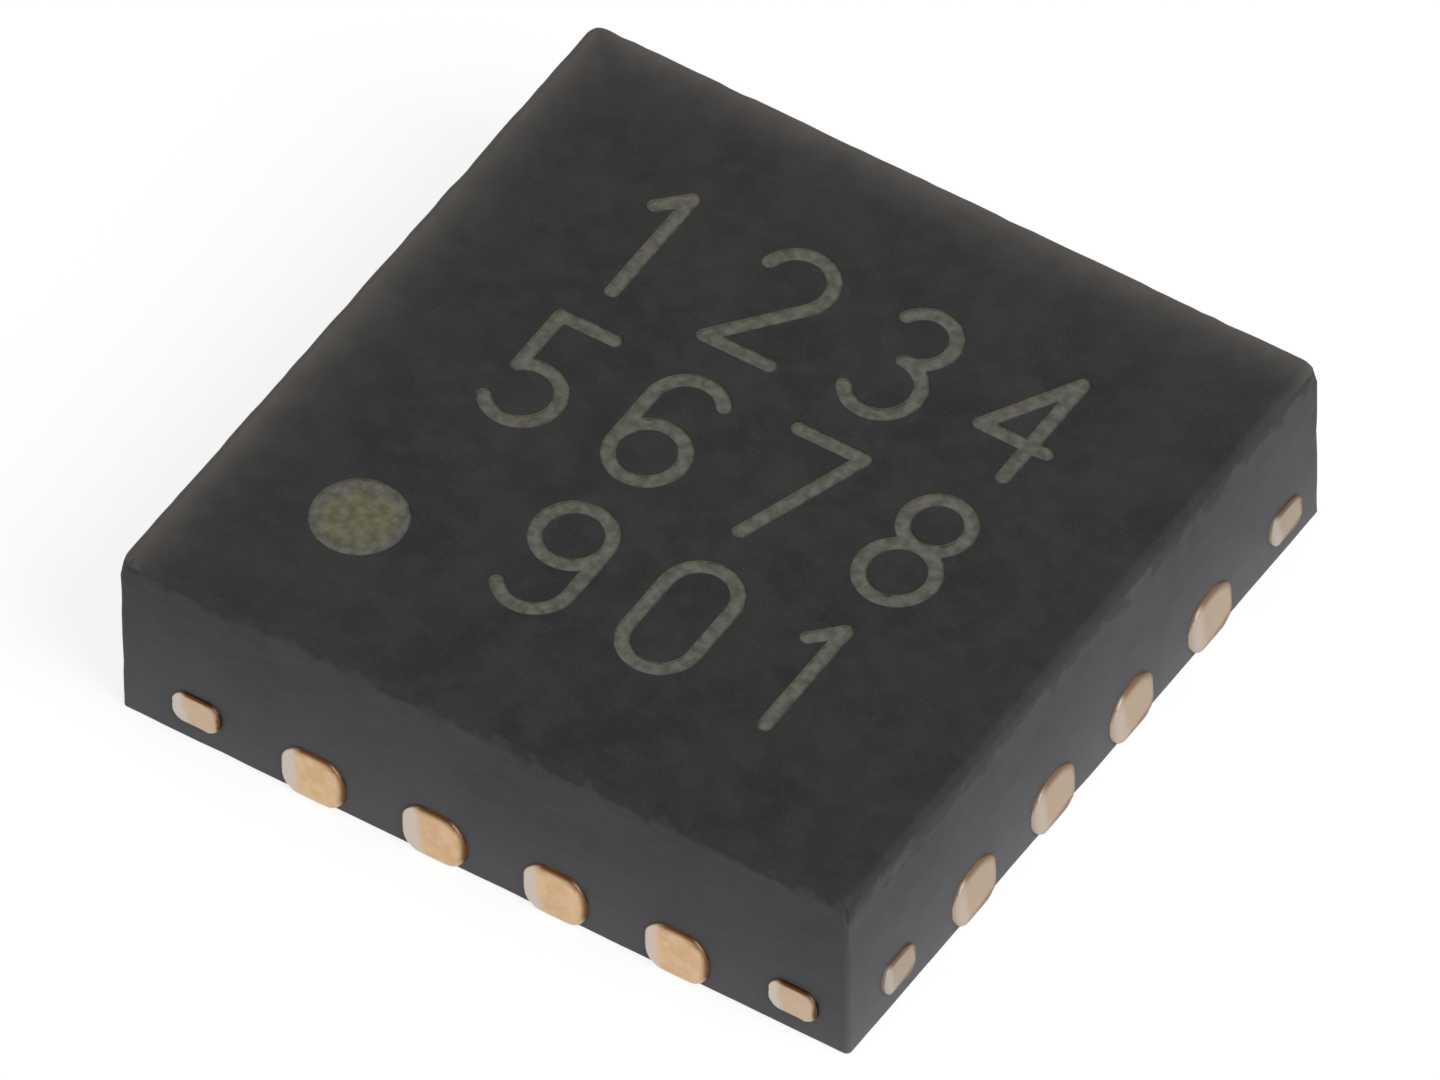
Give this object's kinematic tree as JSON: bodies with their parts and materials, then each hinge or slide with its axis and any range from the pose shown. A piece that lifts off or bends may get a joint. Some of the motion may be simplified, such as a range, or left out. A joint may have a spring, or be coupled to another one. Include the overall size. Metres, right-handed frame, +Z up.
{
  "type": "leadless integrated circuit",
  "caption": "Square leadless moulded chip package with copper terminals along all four walls, an exposed pad below and a laser-marked top.",
  "frame": {"origin": "centre of the seating plane, which the undersides of the terminals and of the exposed pad share", "axes": "+Z up, out of the marked top; +X along the lines of the marking; +Y from its last line to its first; terminal 1 is at -X on the wall at -Y, beside the dot"},
  "size_m": [0.003, 0.003, 0.0008],
  "materials": {
    "moulding": "black filled epoxy moulding, fine matte, sawn walls",
    "leadframe": "copper alloy, sawn ends bare, undersides tin plated",
    "adhesive": "silver-filled epoxy, cured",
    "silicon": "polished silicon, opaque",
    "gold": "drawn gold wire"
  },
  "bodies": {
    "root": {"mould_body": "moulding", "die_pad": "leadframe", "die_attach": "adhesive", "die": "silicon", "lead_01": "leadframe", "lead_02": "leadframe", "lead_03": "leadframe", "lead_04": "leadframe", "lead_05": "leadframe", "lead_06": "leadframe", "lead_07": "leadframe", "lead_08": "leadframe", "lead_09": "leadframe", "lead_10": "leadframe", "lead_11": "leadframe", "lead_12": "leadframe", "lead_13": "leadframe", "lead_14": "leadframe", "lead_15": "leadframe", "lead_16": "leadframe", "bond_wire_01": "gold", "bond_wire_02": "gold", "bond_wire_03": "gold", "bond_wire_04": "gold", "bond_wire_05": "gold", "bond_wire_06": "gold", "bond_wire_07": "gold", "bond_wire_08": "gold", "bond_wire_09": "gold", "bond_wire_10": "gold", "bond_wire_11": "gold", "bond_wire_12": "gold", "bond_wire_13": "gold", "bond_wire_14": "gold", "bond_wire_15": "gold", "bond_wire_16": "gold"}
  },
  "joints": []
}
